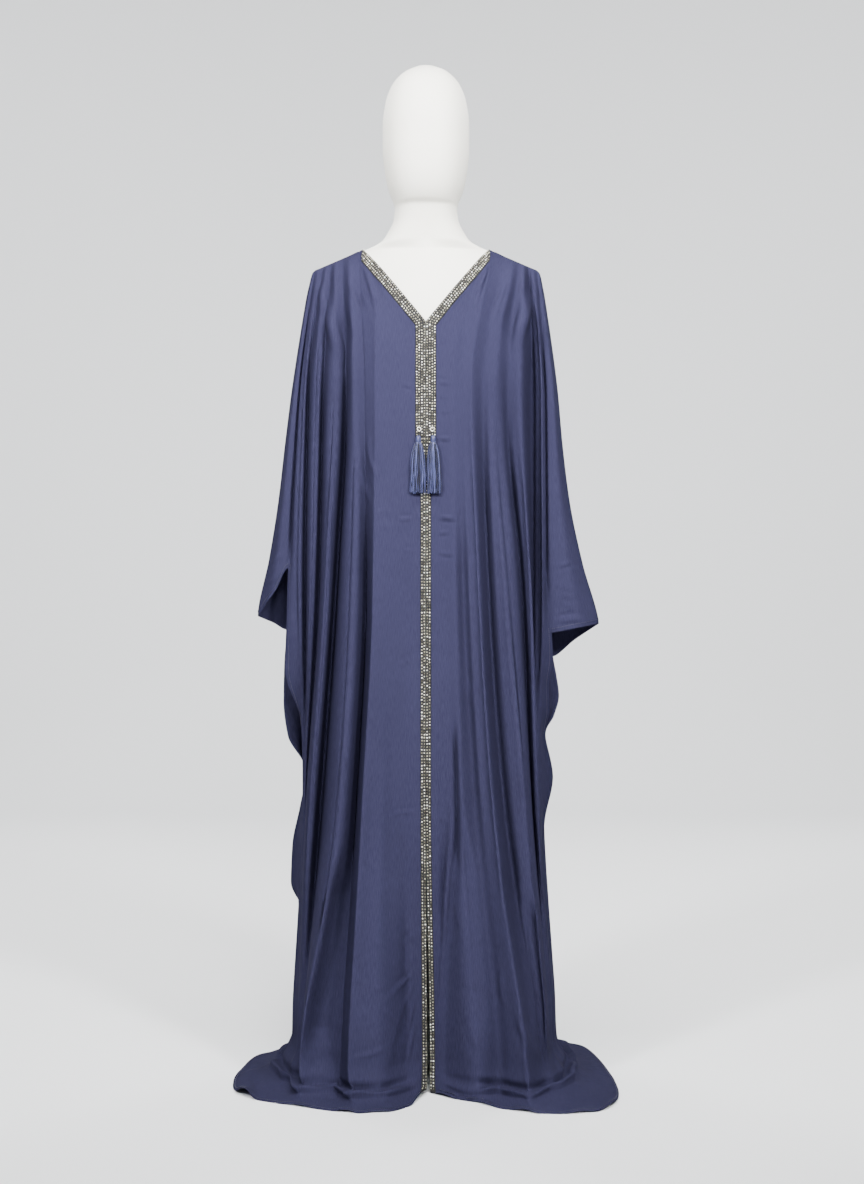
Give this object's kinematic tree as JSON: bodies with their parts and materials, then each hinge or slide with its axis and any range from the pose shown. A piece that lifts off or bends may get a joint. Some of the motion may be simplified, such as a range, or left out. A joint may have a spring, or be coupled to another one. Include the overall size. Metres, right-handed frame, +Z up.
{
  "type": "abaya on a limbless dress form",
  "caption": "Open-front butterfly abaya with a beaded neck trim, tassels and a hem that pools on the floor, on a blank-headed dress form.",
  "frame": {"origin": "middle of the footprint, on the floor", "axes": "+Z up, the front of the gown faces -Y, +X is to the right seen from the front"},
  "size_m": [0.6522, 0.5452, 1.743],
  "materials": {
    "gown_crepe": "matte crepe with a soft sheen",
    "beaded_trim": "grey braid closely sewn with small beads and sequins",
    "tassel_thread": "silky twisted thread",
    "form_shell": "smooth matt cream",
    "stand_metal": "satin steel"
  },
  "bodies": {
    "root": {"front_left": "gown_crepe", "front_right": "gown_crepe", "back_left": "gown_crepe", "back_right": "gown_crepe", "neck_trim_left": "beaded_trim", "neck_trim_right": "beaded_trim", "back_neck_trim_left": "beaded_trim", "back_neck_trim_right": "beaded_trim", "edge_trim_left": "beaded_trim", "edge_trim_right": "beaded_trim", "tassel_left": "tassel_thread", "tassel_right": "tassel_thread", "dress_form": "form_shell", "form_pole": "stand_metal", "form_base": "stand_metal"}
  },
  "joints": []
}
